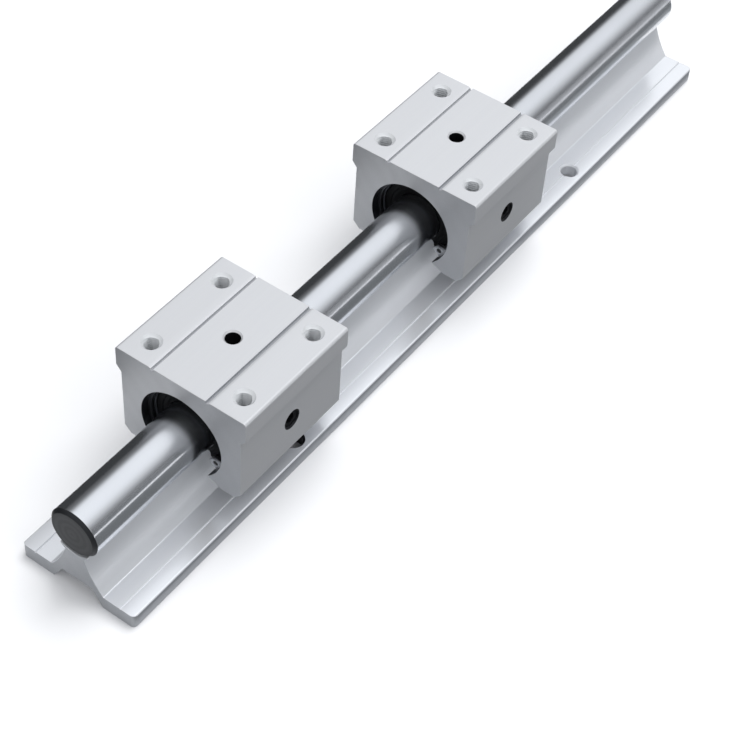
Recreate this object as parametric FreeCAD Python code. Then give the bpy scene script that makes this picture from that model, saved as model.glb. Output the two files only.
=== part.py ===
import FreeCAD, Part
import math
import os

os.makedirs("parts", exist_ok=True)

# Supported round rail: a ground steel shaft on an aluminium support, with two
# open bearing carriages that slide along it. Millimetres. X is across the rail,
# Y along it, Z up. The origin is under the middle of the rail, on the floor.

# Shaft
rail_length = 300.0
shaft_d = 16.0
shaft_z = 25.0
shaft_chamfer = 1.0

# Extruded support under the shaft
support_width = 40.0
flange_t = 5.0
flange_top_round = 0.6
foot_inner_half = 8.7
recess_top_half = 5.3
recess_height = 5.5
web_base_half = 9.25
web_waist_half = 6.2
web_waist_z = 9.5
neck_half = 3.2
neck_z = 16.5
cradle_half = 4.6
cradle_lip = 0.5
scribe_width = 0.6
scribe_depth = 0.3

# Holes in the flanges
flange_hole_d = 5.5
flange_hole_across = 30.0
flange_hole_rows = 2

# Screws that hold the shaft from below
shaft_screw_d = 5.0
shaft_screw_length = 20.0
shaft_screw_count = 2
shaft_screw_head_d = 8.5
shaft_screw_head_h = 5.0
shaft_screw_key = 4.0
shaft_screw_key_depth = 2.5
shaft_screw_hole_d = 5.5
shaft_thread_extra = 1.5

# Carriage case, also an extrusion
case_width = 45.0
case_length = 45.0
case_top_z = 45.0
case_bottom_z = 12.0
case_top_round = 1.0
ledge_top_z = 38.0
ledge_height = 2.0
ledge_step = 1.7
foot_chamfer = 2.3
foot_slope_half = 14.0
groove_x = 9.6
groove_width = 0.9
groove_depth = 0.5

# Holes in the case
top_thread_d = 5.0
top_hole_depth = 12.0
top_hole_across = 32.0
top_hole_along = 30.0
top_hole_rim_d = 6.4
drill_point_angle = 118.0
oil_hole_d = 4.8
side_screw_d = 6.0
side_screw_z = 26.0
side_screw_length = 6.0
side_screw_key = 3.0
side_screw_key_depth = 2.5

# Open linear ball bushing inside each case
bearing_d = 28.0
bearing_length = 37.0
slot_angle = 80.0
shell_wall = 1.6
cage_wall_gap = 0.2
seal_t = 2.5
seal_recess = 0.4

# Clearances
seat_gap = 0.02
thread_gap = 0.05
bolt_gap = 0.1
cage_shaft_gap = 0.35
seal_shaft_gap = 0.15

# Where the carriages stand along the rail
front_carriage_y = -84.0
rear_carriage_y = 24.0

shaft_r = shaft_d / 2
bearing_r = bearing_d / 2
case_bore_r = bearing_r + seat_gap
shell_inner_r = bearing_r - shell_wall
top_hole_r = top_thread_d / 2 + bolt_gap
half_slot = math.radians(slot_angle / 2)
case_lower_half = case_width / 2 - ledge_step

ORIGIN = FreeCAD.Vector(0, 0, 0)
X_AXIS = FreeCAD.Vector(1, 0, 0)
Y_AXIS = FreeCAD.Vector(0, 1, 0)
Z_AXIS = FreeCAD.Vector(0, 0, 1)
AXIS_POINT = FreeCAD.Vector(0, 0, shaft_z)


def point(x, z, y=0.0):
    return FreeCAD.Vector(x, y, z)


def line(start, end):
    return Part.LineSegment(start, end).toShape()


def arc(start, middle, end):
    return Part.Arc(start, middle, end).toShape()


def path(points):
    """Straight edges from each point to the next."""
    return [line(a, b) for a, b in zip(points, points[1:])]


def around_shaft(radius, angle):
    """Point on a circle about the shaft's axis; the angle is from straight down, towards +X."""
    return point(radius * math.sin(angle), shaft_z - radius * math.cos(angle))


def symmetric_face(right_edges):
    """Face across the rail, from the outline of its right half."""
    left_edges = [edge.mirror(ORIGIN, X_AXIS) for edge in right_edges]
    outline = Part.sortEdges(right_edges + left_edges)[0]
    return Part.Face(Part.Wire(outline))


def along_rail(face, length):
    """Bar of one section, centred on Y = 0."""
    start = face.translated(FreeCAD.Vector(0, -length / 2, 0))
    return start.extrude(FreeCAD.Vector(0, length, 0))


def tube_on_shaft(outer_r, inner_r, length, y=0.0):
    base = AXIS_POINT + FreeCAD.Vector(0, y - length / 2, 0)
    outer = Part.makeCylinder(outer_r, length, base, Y_AXIS)
    return outer.cut(Part.makeCylinder(inner_r, length, base, Y_AXIS))


def slot_wedge():
    """Wedge under the shaft, cut out of each part of the bushing to let the support pass."""
    reach = 2 * bearing_r
    corners = [AXIS_POINT, around_shaft(reach, -half_slot), around_shaft(reach, half_slot), AXIS_POINT]
    return along_rail(Part.Face(Part.makePolygon(corners)), bearing_length)


def hexagon_socket(across_flats, depth, mouth, direction):
    """Hexagonal key socket that goes from its mouth in the given direction."""
    corner_r = across_flats / 2 / math.cos(math.pi / 6)
    corners = []
    for i in range(7):
        turn = math.radians(60 * i)
        corners.append(FreeCAD.Vector(corner_r * math.cos(turn), corner_r * math.sin(turn), 0))
    socket = Part.Face(Part.makePolygon(corners)).extrude(FreeCAD.Vector(0, 0, depth))
    socket.Placement = FreeCAD.Placement(mouth, FreeCAD.Rotation(Z_AXIS, direction))
    return socket


def tapped_top_hole(mouth):
    """Blind hole down from the case's top, with a countersunk rim and the cone that the drill leaves."""
    rim_depth = top_hole_rim_d / 2 - top_hole_r
    tip_depth = top_hole_r / math.tan(math.radians(drill_point_angle / 2))
    rim = Part.makeCone(top_hole_rim_d / 2, top_hole_r, rim_depth, mouth, -Z_AXIS)
    wall = Part.makeCylinder(top_hole_r, top_hole_depth, mouth, -Z_AXIS)
    tip = Part.makeCone(top_hole_r, 0, tip_depth, mouth - Z_AXIS * top_hole_depth, -Z_AXIS)
    return wall.fuse([rim, tip])


def chamfered(solid, size, wanted):
    """Chamfer the round edges of the wanted radius."""
    edges = []
    for edge in solid.Edges:
        if isinstance(edge.Curve, Part.Circle) and abs(edge.Curve.Radius - wanted) < 1e-6:
            edges.append(edge)
    return solid.makeChamfer(size, edges)


def stations(count):
    """Evenly spaced places along the rail, half a pitch from each end."""
    pitch = rail_length / count
    return [(i - (count - 1) / 2) * pitch for i in range(count)]


flange_hole_stations = stations(flange_hole_rows)
shaft_screw_stations = stations(shaft_screw_count)
shaft_thread_depth = recess_height + shaft_screw_length + shaft_thread_extra


def make_shaft():
    base = AXIS_POINT - FreeCAD.Vector(0, rail_length / 2, 0)
    shaft = Part.makeCylinder(shaft_r, rail_length, base, Y_AXIS)
    shaft = chamfered(shaft, shaft_chamfer, shaft_r)
    for y in shaft_screw_stations:
        hole = Part.makeCylinder(shaft_screw_d / 2, shaft_thread_depth, point(0, 0, y), Z_AXIS)
        shaft = shaft.cut(hole)
    return shaft


def support_section():
    """Section of the support: feet, flanges, waisted web and the cradle for the shaft."""
    half = support_width / 2
    cradle_r = shaft_r + seat_gap
    cradle_angle = math.asin(cradle_half / cradle_r)
    lip = around_shaft(cradle_r, cradle_angle)
    lip_outside = around_shaft(cradle_r + cradle_lip, cradle_angle)
    round_mid = flange_top_round * (1 - math.sqrt(0.5))
    edges = path([
        point(0, recess_height),
        point(recess_top_half, recess_height),
        point(foot_inner_half, 0),
        point(half, 0),
        point(half, flange_t - flange_top_round),
    ])
    edges.append(arc(
        point(half, flange_t - flange_top_round),
        point(half - round_mid, flange_t - round_mid),
        point(half - flange_top_round, flange_t),
    ))
    edges += path([point(half - flange_top_round, flange_t), point(web_base_half, flange_t)])
    edges.append(arc(
        point(web_base_half, flange_t),
        point(web_waist_half, web_waist_z),
        point(neck_half, neck_z),
    ))
    edges += path([point(neck_half, neck_z), lip_outside, lip])
    edges.append(arc(lip, around_shaft(cradle_r, cradle_angle / 2), around_shaft(cradle_r, 0)))
    return symmetric_face(edges)


def scribe_line(side):
    """Fine V groove along the top of one flange, through the middle of its holes."""
    x = side * flange_hole_across / 2
    half = scribe_width / 2
    corners = [
        point(x - half, flange_t),
        point(x, flange_t - scribe_depth),
        point(x + half, flange_t),
        point(x - half, flange_t),
    ]
    return along_rail(Part.Face(Part.makePolygon(corners)), rail_length)


def make_rail_support():
    support = along_rail(support_section(), rail_length)
    cuts = [scribe_line(-1), scribe_line(1)]
    for y in flange_hole_stations:
        for side in (-1, 1):
            mouth = point(side * flange_hole_across / 2, 0, y)
            cuts.append(Part.makeCylinder(flange_hole_d / 2, flange_t, mouth, Z_AXIS))
    for y in shaft_screw_stations:
        cuts.append(Part.makeCylinder(shaft_screw_hole_d / 2, shaft_z, point(0, 0, y), Z_AXIS))
    return support.cut(cuts)


def make_shaft_screw(y):
    """Socket head screw under the shaft, with its head up in the recess of the support."""
    head_bottom = recess_height - shaft_screw_head_h
    head_r = shaft_screw_head_d / 2
    head = Part.makeCylinder(head_r, shaft_screw_head_h, point(0, head_bottom, y), Z_AXIS)
    shank_r = shaft_screw_d / 2 - thread_gap
    shank = Part.makeCylinder(shank_r, shaft_screw_length, point(0, recess_height, y), Z_AXIS)
    socket = hexagon_socket(shaft_screw_key, shaft_screw_key_depth, point(0, head_bottom, y), Z_AXIS)
    return head.fuse(shank).cut(socket)


def case_section():
    """Section of the case: round bore, open below, with the stepped sides of the extrusion."""
    half = case_width / 2
    round_mid = case_top_round * (1 - math.sqrt(0.5))
    ledge_bottom_z = ledge_top_z - ledge_height
    edges = path([
        point(0, case_top_z),
        point(groove_x - groove_width / 2, case_top_z),
        point(groove_x - groove_width / 2, case_top_z - groove_depth),
        point(groove_x + groove_width / 2, case_top_z - groove_depth),
        point(groove_x + groove_width / 2, case_top_z),
        point(half - case_top_round, case_top_z),
    ])
    edges.append(arc(
        point(half - case_top_round, case_top_z),
        point(half - round_mid, case_top_z - round_mid),
        point(half, case_top_z - case_top_round),
    ))
    edges += path([
        point(half, case_top_z - case_top_round),
        point(half, ledge_top_z),
        point(case_lower_half, ledge_bottom_z),
        point(case_lower_half, case_bottom_z + foot_chamfer),
        point(case_lower_half - foot_chamfer, case_bottom_z),
        point(foot_slope_half, case_bottom_z),
        around_shaft(case_bore_r, half_slot),
    ])
    edges.append(arc(
        around_shaft(case_bore_r, half_slot),
        around_shaft(case_bore_r, (half_slot + math.pi) / 2),
        around_shaft(case_bore_r, math.pi),
    ))
    return symmetric_face(edges)


def make_case():
    case = along_rail(case_section(), case_length)
    cuts = []
    for side in (-1, 1):
        for end in (-1, 1):
            mouth = point(side * top_hole_across / 2, case_top_z, end * top_hole_along / 2)
            cuts.append(tapped_top_hole(mouth))
    oil_hole_depth = case_top_z - shaft_z
    cuts.append(Part.makeCylinder(oil_hole_d / 2, oil_hole_depth, point(0, case_top_z), -Z_AXIS))
    side_mouth = point(case_lower_half, side_screw_z)
    cuts.append(Part.makeCylinder(side_screw_d / 2, case_lower_half, side_mouth, -X_AXIS))
    return case.cut(cuts)


def make_bearing_shell():
    return tube_on_shaft(bearing_r, shell_inner_r, bearing_length).cut(slot_wedge())


cage_length = bearing_length - 2 * (seal_t + seal_recess)


def make_ball_cage():
    cage = tube_on_shaft(shell_inner_r - cage_wall_gap, shaft_r + cage_shaft_gap, cage_length)
    return cage.cut(slot_wedge())


def make_end_seal(end):
    y = end * (cage_length + seal_t) / 2
    seal = tube_on_shaft(shell_inner_r - seat_gap, shaft_r + seal_shaft_gap, seal_t, y)
    return seal.cut(slot_wedge())


def make_set_screw():
    """Set screw in the side of the case, its flat point against the bearing shell."""
    radius = side_screw_d / 2 - thread_gap
    point_x = bearing_r + seat_gap
    screw = Part.makeCylinder(radius, side_screw_length, point(point_x, side_screw_z), X_AXIS)
    mouth = point(point_x + side_screw_length, side_screw_z)
    return screw.cut(hexagon_socket(side_screw_key, side_screw_key_depth, mouth, -X_AXIS))


def write(name, shape):
    shape = shape.removeSplitter()
    print(name, len(shape.Solids), "solid", shape.isValid(), round(shape.Volume, 1), "mm3")
    shape.exportStep("parts/" + name + ".step")


def write_rail():
    write("shaft", make_shaft())
    write("rail_support", make_rail_support())
    for i, y in enumerate(shaft_screw_stations):
        write("shaft_screw_" + str(i + 1), make_shaft_screw(y))


def write_carriage(place, y):
    pieces = {
        "case": make_case(),
        "bearing_shell": make_bearing_shell(),
        "ball_cage": make_ball_cage(),
        "end_seal_near": make_end_seal(-1),
        "end_seal_far": make_end_seal(1),
        "set_screw": make_set_screw(),
    }
    for name, shape in pieces.items():
        write(place + "_" + name, shape.translated(FreeCAD.Vector(0, y, 0)))


write_rail()
write_carriage("front", front_carriage_y)
write_carriage("rear", rear_carriage_y)
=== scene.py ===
# %% [markdown]
# # A supported round rail with two open bearing blocks
#
# The real object is a ground steel shaft on an aluminium support, with two blocks that slide along it.
# Its solids come from the imported frame. This lesson builds the visible surfaces around them, with broken
# edges, threads, seals and finishes, and it keeps every piece on the body that carries it.

# %% The frame and the unit
import math

import bmesh
import bpy
from mathutils import Matrix, Vector


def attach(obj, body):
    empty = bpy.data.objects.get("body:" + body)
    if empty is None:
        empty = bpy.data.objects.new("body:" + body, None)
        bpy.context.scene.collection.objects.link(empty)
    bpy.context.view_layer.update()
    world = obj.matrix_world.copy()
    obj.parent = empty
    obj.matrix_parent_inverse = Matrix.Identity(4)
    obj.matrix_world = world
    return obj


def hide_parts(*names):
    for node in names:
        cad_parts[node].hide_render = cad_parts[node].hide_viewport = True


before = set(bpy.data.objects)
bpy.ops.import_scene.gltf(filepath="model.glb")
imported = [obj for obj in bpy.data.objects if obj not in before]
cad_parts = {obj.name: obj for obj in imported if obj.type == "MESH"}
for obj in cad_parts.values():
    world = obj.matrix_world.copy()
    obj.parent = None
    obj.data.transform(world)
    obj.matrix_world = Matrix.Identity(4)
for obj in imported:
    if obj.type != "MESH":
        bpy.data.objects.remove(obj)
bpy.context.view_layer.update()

MM = 0.001
print("nodes:", len(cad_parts))

# %% [markdown]
# ## The camera
#
# The photograph was taken from the front right, high above the rail, with a long lens and a slight roll.
# A camera object takes a matrix whose columns are its right, its up and its back. That is easier to check
# than a chain of Euler turns, so the matrix is built from the three angles directly. The lens stays straight
# and the whole camera steps aside for the photograph's framing, so other views stay centred too.

# %% Camera at the photograph's angle
def aim_camera(azimuth, elevation, roll, distance, look_at, step_right, step_up, lens):
    """Camera from angles in degrees, lengths in metres and a lens in millimetres."""
    a, e, r = (math.radians(v) for v in (azimuth, elevation, roll))
    back = Vector((math.sin(a) * math.cos(e), -math.cos(a) * math.cos(e), math.sin(e)))
    right = Vector((math.cos(a), math.sin(a), 0))
    up = back.cross(right)
    eye = Vector(look_at) + right * step_right + up * step_up + back * distance
    rolled_right = right * math.cos(r) + up * math.sin(r)
    rolled_up = up * math.cos(r) - right * math.sin(r)
    turn = Matrix((rolled_right, rolled_up, back)).transposed()
    data = bpy.data.cameras.new("photo_camera")
    data.lens = lens
    data.sensor_width = 36.0
    data.clip_start = 0.01
    camera = bpy.data.objects.new("photo_camera", data)
    camera.matrix_world = Matrix.Translation(eye) @ turn.to_4x4()
    bpy.context.scene.collection.objects.link(camera)
    bpy.context.scene.camera = camera
    return camera


camera = aim_camera(azimuth=32.49, elevation=47.67, roll=4.71, distance=0.5591, look_at=(0, 0, 0.025),
                    step_right=-0.00589, step_up=-0.04597, lens=87.99)
print("camera stands at", [round(v, 3) for v in camera.matrix_world.translation])

# %% [markdown]
# ## Outlines
#
# Both aluminium parts are extrusions: one outline pushed through a die. So each is drawn as an outline
# across the rail and then run along Y. A die can't have knife edges, so each corner carries a radius, and
# a helper turns the corners into short arcs. A bevel modifier could do it too, but it also bevels what a
# boolean leaves behind, and an outline that already has its radii stays clean.

# %% Corners with a radius become short arcs
ARC_STEPS = 4
WIDE_CORNER = 0.8


def soften(corners):
    """Closed outline of points from corners (x, z, radius) in mm; a wide corner gets more steps."""
    outline = []
    for i, (x, z, radius) in enumerate(corners):
        here = Vector((x, z))
        to_last = (Vector(corners[i - 1][:2]) - here).normalized()
        to_next = (Vector(corners[(i + 1) % len(corners)][:2]) - here).normalized()
        half = to_last.angle(to_next) / 2
        nearly_straight = half > math.radians(88)
        if not radius or nearly_straight:
            outline.append(here)
            continue
        centre = here + (to_last + to_next).normalized() * (radius / math.sin(half))
        first = here + to_last * (radius / math.tan(half)) - centre
        last = here + to_next * (radius / math.tan(half)) - centre
        turn = first.angle(last)
        count = ARC_STEPS * (3 if radius > WIDE_CORNER else 1)
        for k in range(count + 1):
            share = k / count
            blend = first * math.sin((1 - share) * turn) + last * math.sin(share * turn)
            outline.append(centre + blend / math.sin(turn))
    return outline


def mirrored(right_half):
    """Closed list of corners from those of the right half, which may start or end on the middle."""
    left_half = [(-x, z, radius) for x, z, radius in reversed(right_half) if x > 1e-6]
    return right_half + left_half


def arc_on_shaft(radius, start, end, count):
    """Corners on a circle about the shaft; angles in degrees from straight down, towards +X."""
    corners = []
    for k in range(count + 1):
        a = math.radians(start + (end - start) * k / count)
        corners.append((radius * math.sin(a), SHAFT_Z - radius * math.cos(a), 0))
    return corners


def arc_through(start, middle, end, count):
    """Corners on the circle through three points (x, z), the start and the end left out."""
    (ax, az), (bx, bz), (cx, cz) = start, middle, end
    d = 2 * (ax * (bz - cz) + bx * (cz - az) + cx * (az - bz))
    sa, sb, sc = ax * ax + az * az, bx * bx + bz * bz, cx * cx + cz * cz
    ox = (sa * (bz - cz) + sb * (cz - az) + sc * (az - bz)) / d
    oz = (sa * (cx - bx) + sb * (ax - cx) + sc * (bx - ax)) / d
    radius = math.hypot(ax - ox, az - oz)
    first, last = math.atan2(az - oz, ax - ox), math.atan2(cz - oz, cx - ox)
    sweep = (last - first + math.pi) % (2 * math.pi) - math.pi
    turns = [first + sweep * k / count for k in range(1, count)]
    return [(ox + radius * math.cos(t), oz + radius * math.sin(t), 0) for t in turns]


SHAFT_R = 8.0
SHAFT_Z = 25.0
RAIL_HALF = 150.0
print("shaft:", 2 * SHAFT_R, "mm across, centre", SHAFT_Z, "mm above the floor")
print("rail:", 2 * RAIL_HALF, "mm long")

# %% [markdown]
# ## Making solids from outlines
#
# Three kinds of solid are enough here: a bar along Y, a piece turned about an axis, and either of them
# with something cut out. Each comes out of one short bmesh function. The bar's ends get a rounded edge by
# drawing the outline a little smaller on the way to the end, which is what a deburring tool leaves.

# %% Bar along Y with deburred ends
SHARPEST = 0.35


def inset(outline, distance):
    """The outline moved inwards by a small distance; SHARPEST keeps a pointed corner from running off."""
    if distance == 0:
        return outline
    area = sum(a.x * b.y - b.x * a.y for a, b in zip(outline, outline[1:] + outline[:1]))
    side = 1 if area > 0 else -1
    moved = []
    for i, here in enumerate(outline):
        before = (here - outline[i - 1]).normalized()
        after = (outline[(i + 1) % len(outline)] - here).normalized()
        normal = Vector((-before.y - after.y, before.x + after.x)).normalized()
        reach = distance / max(SHARPEST, normal.dot(Vector((-before.y, before.x))))
        moved.append(here + normal * side * reach)
    return moved


def skin(mesh, rings):
    """Quads between neighbouring rings of vertices, and a cap on the first and on the last ring."""
    for ring, following in zip(rings, rings[1:]):
        for i in range(len(ring)):
            j = (i + 1) % len(ring)
            mesh.faces.new((ring[i], ring[j], following[j], following[i]))
    mesh.faces.new(rings[0])
    mesh.faces.new(rings[-1])
    bmesh.ops.recalc_face_normals(mesh, faces=mesh.faces)


def bar(outline, y_from, y_to, edge, corner=0.0):
    """Bar along Y; edge rounds its ends all round, and corner rounds their two upright outer corners."""
    mesh = bmesh.new()
    widest = max(p.x for p in outline)
    turns = [math.radians(a) for a in (0, 30, 60, 90)]
    near = [(edge * (1 - math.cos(t)), edge * (1 - math.sin(t))) for t in turns]
    near += [(corner * share, 0) for share in (0.3, 0.5, 0.75, 1.0) if corner]
    rings = []
    for y, shrink in near + [(y_to - y_from - y, shrink) for y, shrink in reversed(near)]:
        inside = max(0.0, corner - min(y, y_to - y_from - y))
        reach = widest - shrink - corner + math.sqrt(corner * corner - inside * inside)
        ring = [(max(-reach, min(reach, p.x)), p.y) for p in inset(outline, shrink)]
        rings.append([mesh.verts.new((x, y_from + y, z)) for x, z in ring])
    skin(mesh, rings)
    return mesh


# %% Piece turned about an axis, whole or with a slot
def along(direction, at):
    """Placement whose local Z runs along the direction, from the point at."""
    return Matrix.Translation(at) @ Vector(direction).to_track_quat("Z", "X").to_matrix().to_4x4()


def turned(profile, place, segments, closed=False, start=0.0, sweep=360.0):
    """Solid from a profile of (radius, height) points; a sweep under 360 degrees is capped at its ends."""
    mesh = bmesh.new()
    whole = sweep >= 360
    count = segments if whole else segments + 1
    rings = []
    for k in range(count):
        a = math.radians(start + sweep * k / segments)
        rings.append([mesh.verts.new((r * math.cos(a), r * math.sin(a), h)) for r, h in profile])
    steps = len(profile) if closed else len(profile) - 1
    for k in range(segments):
        ring, following = rings[k], rings[(k + 1) % count]
        for i in range(steps):
            j = (i + 1) % len(profile)
            mesh.faces.new((ring[i], ring[j], following[j], following[i]))
    if not whole:
        mesh.faces.new(rings[0])
        mesh.faces.new(rings[-1])
    bmesh.ops.remove_doubles(mesh, verts=mesh.verts, dist=1e-5)
    bmesh.ops.dissolve_degenerate(mesh, edges=mesh.edges, dist=1e-6)
    bmesh.ops.recalc_face_normals(mesh, faces=mesh.faces)
    mesh.transform(place)
    return mesh


# %% From bmesh to object, and cutting
def as_object(name, mesh):
    """Object from a bmesh in millimetres."""
    mesh.transform(Matrix.Scale(MM, 4))
    data = bpy.data.meshes.new(name)
    mesh.to_mesh(data)
    mesh.free()
    made = bpy.data.objects.new(name, data)
    bpy.context.scene.collection.objects.link(made)
    return made


def cut(piece, cutters):
    """Take the cutters, which are bmeshes in millimetres, out of the piece."""
    tool = bmesh.new()
    for cutter in cutters:
        data = bpy.data.meshes.new("cutter")
        cutter.to_mesh(data)
        cutter.free()
        tool.from_mesh(data)
        bpy.data.meshes.remove(data)
    tool = as_object("cutter", tool)
    modifier = piece.modifiers.new("cut", "BOOLEAN")
    modifier.operation = "DIFFERENCE"
    modifier.solver = "EXACT"
    modifier.object = tool
    bpy.context.view_layer.update()
    result = bpy.data.meshes.new_from_object(piece.evaluated_get(bpy.context.evaluated_depsgraph_get()))
    piece.modifiers.clear()
    old = piece.data
    result.name = old.name
    piece.data = result
    bpy.data.meshes.remove(old)
    bpy.data.meshes.remove(tool.data)


SHARP_ANGLE = 28


def finish_shape(piece):
    """Smooth shading that keeps flats flat: small faces bend, large ones hold their own normal."""
    piece.data.shade_smooth()
    piece.data.set_sharp_from_angle(angle=math.radians(SHARP_ANGLE))
    weighted = piece.modifiers.new("hold flats", "WEIGHTED_NORMAL")
    weighted.keep_sharp = True
    weighted.weight = 100


# %% [markdown]
# ## Colour and nodes
#
# Colours are written as sRGB hex values, as one reads them off a photograph, and one function turns them
# into the linear values that a shader needs. One more function adds a node, sets it and links it. No real
# finish is even, so a third lets a pattern vary both colour and roughness a little.

# %% Colour and node helpers
def linear(hex_colour):
    """Linear colour with full alpha from an sRGB hex value."""
    parts = [int(hex_colour[i:i + 2], 16) / 255 for i in (0, 2, 4)]
    values = [v / 12.92 if v <= 0.04045 else ((v + 0.055) / 1.055) ** 2.4 for v in parts]
    return values + [1.0]


def fill_inputs(tree, node, inputs):
    """Give a node's inputs their values, or link them where the value is another node's socket."""
    for name, value in inputs.items():
        if isinstance(value, bpy.types.NodeSocket):
            tree.links.new(value, node.inputs[name])
        else:
            node.inputs[name].default_value = value


def add(tree, kind, inputs=None, **settings):
    """Add one node. Settings are its properties; inputs are values, or sockets to link from."""
    made = tree.nodes.new(kind)
    for name, value in settings.items():
        setattr(made, name, value)
    fill_inputs(tree, made, inputs or {})
    return made


def new_material(name):
    """Material with a bare Principled shader; returns its tree and the shader."""
    material = bpy.data.materials.new(name)
    material.use_nodes = True
    tree = material.node_tree
    tree.nodes.clear()
    shader = add(tree, "ShaderNodeBsdfPrincipled")
    add(tree, "ShaderNodeOutputMaterial", {"Surface": shader.outputs["BSDF"]})
    print("material:", name)
    return material, tree, shader


def noise_lines(tree, across_mm, along_mm, detail):
    """Noise drawn out along the rail: lines across_mm apart and along_mm long."""
    place = add(tree, "ShaderNodeTexCoord").outputs["Object"]
    scale = (1 / (across_mm * MM), 1 / (along_mm * MM), 1 / (across_mm * MM))
    stretched = add(tree, "ShaderNodeMapping", {"Vector": place, "Scale": scale})
    return add(tree, "ShaderNodeTexNoise", {
        "Vector": stretched.outputs["Vector"], "Scale": 1.0, "Detail": detail, "Roughness": 0.6})


NOISE_LOW, NOISE_HIGH = 0.3, 0.7  # noise keeps mostly between these; a range node clamps the rest


def vary(tree, shader, pattern, low_hex, high_hex, rough_low, rough_high, rough_pattern=None):
    """Let a pattern vary the shader's colour, and the same or another pattern its roughness."""
    colour = add(tree, "ShaderNodeMix", {
        "Factor": pattern, "A": linear(low_hex), "B": linear(high_hex)}, data_type="RGBA")
    rough = add(tree, "ShaderNodeMapRange", {
        "Value": pattern if rough_pattern is None else rough_pattern,
        "From Min": NOISE_LOW, "From Max": NOISE_HIGH, "To Min": rough_low, "To Max": rough_high})
    fill_inputs(tree, shader, {"Base Color": colour.outputs["Result"], "Roughness": rough.outputs["Result"]})


def wave_scale(spacing_mm):
    """Scale of a wave texture, which goes through 20 radians in each unit, for waves that far apart."""
    return math.tau / (20 * spacing_mm * MM)


print("a middle grey, 808080, is", round(linear("808080")[0], 3), "in linear light")

# %% [markdown]
# ## Satin anodised aluminium, extruded
#
# The support and the blocks are extrusions with a clear anodic layer. Pushing the metal through a die
# leaves faint straight lines along it, and etching before the anodising gives a fine even grain that
# scatters the light. So the shader is a rough metal with long thin noise in its roughness and bump. The
# real lines are about 0.1 mm apart; here they are 0.5 mm, as fine as shows at this distance. A plain colour
# would make the long faces look like plastic. The support's upright outer sides and the fine grooves in the
# blocks lie in shade and look darker, so they get a darker layer of the same kind: painted shade.

# %% Extruded satin aluminium
def extruded_aluminium(name, low_hex, high_hex, roughness, metallic, ridge):
    material, tree, shader = new_material(name)
    die = noise_lines(tree, across_mm=0.5, along_mm=120, detail=3.0)
    broad = noise_lines(tree, across_mm=4.0, along_mm=400, detail=1.0)
    grain = noise_lines(tree, across_mm=0.22, along_mm=0.22, detail=1.0)
    worn = add(tree, "ShaderNodeMix", {"Factor": 0.35, "A": die.outputs["Fac"], "B": broad.outputs["Fac"]})
    vary(tree, shader, worn.outputs["Result"], low_hex, high_hex, roughness + 0.02, roughness - 0.02)
    ridges = add(tree, "ShaderNodeBump", {
        "Height": die.outputs["Fac"], "Strength": ridge, "Distance": 0.01 * MM})
    etched = add(tree, "ShaderNodeBump", {
        "Height": grain.outputs["Fac"], "Strength": 0.10, "Distance": 0.01 * MM,
        "Normal": ridges.outputs["Normal"]})
    fill_inputs(tree, shader, {"Metallic": metallic, "Normal": etched.outputs["Normal"]})
    return material


# the support's upright outer sides are coloured darker: painted shade
support_side_shade = extruded_aluminium(
    "satin anodised aluminium, outer sides in painted shade", "9da0a6", "a7aab0",
    roughness=0.3, metallic=0.4, ridge=0.012)
support_skin = extruded_aluminium(
    "satin anodised aluminium, extruded support", "eaecf0", "eef0f4",
    roughness=0.23, metallic=0.5, ridge=0.012)
block_skin = extruded_aluminium(
    "satin anodised aluminium, extruded block", "d0d1d4", "d6d7d9",
    roughness=0.33, metallic=0.4, ridge=0.03)
# the fine grooves' walls and floors are coloured darker: painted shade
block_groove_shade = extruded_aluminium(
    "satin anodised aluminium, groove in painted shade", "a8aaae", "b0b2b6",
    roughness=0.4, metallic=0.4, ridge=0.03)

# %% [markdown]
# ## Sawn and machined aluminium
#
# The rail is sawn to length and the blocks' ends are milled, so both carry faint arcs. The bores and the
# drilled holes are cut across the grain as well, and their lines run round the cut. Rings of a large
# radius, bent a little by noise, stand for the saw and the mill, and bands along Y for the boring tool.
# The real marks are finer than a pixel, so they are drawn 5.7 mm and 2.5 mm apart, and faint. The bores and
# the holes that lie deep in shade get near-black finishes of their own: painted shade.

# %% Sawn ends and bored walls
SAW_ARC_MM = 5.655
FEED_MM = 2.513
SAW_AXIS = (0.14, 0.0, 0.09)  # metres from the saw's axis, left of the rail and below it, to the origin


def sawn_aluminium(name, low_hex, high_hex, roughness, metallic):
    material, tree, shader = new_material(name)
    place = add(tree, "ShaderNodeTexCoord").outputs["Object"]
    blade = add(tree, "ShaderNodeMapping", {"Vector": place, "Location": SAW_AXIS})
    arcs = add(tree, "ShaderNodeTexWave", {
        "Vector": blade.outputs["Vector"], "Scale": wave_scale(SAW_ARC_MM), "Distortion": 1.2, "Detail": 3.0,
        "Detail Scale": 1.5}, wave_type="RINGS", rings_direction="Y")
    grain = noise_lines(tree, across_mm=0.35, along_mm=0.35, detail=2.0)
    mixed = add(tree, "ShaderNodeMix", {"Factor": 0.85, "A": arcs.outputs["Fac"], "B": grain.outputs["Fac"]})
    vary(tree, shader, mixed.outputs["Result"], low_hex, high_hex, roughness + 0.05, roughness - 0.05)
    teeth = add(tree, "ShaderNodeBump", {
        "Height": mixed.outputs["Result"], "Strength": 0.06, "Distance": 0.01 * MM})
    fill_inputs(tree, shader, {"Metallic": metallic, "Normal": teeth.outputs["Normal"]})
    return material


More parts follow.
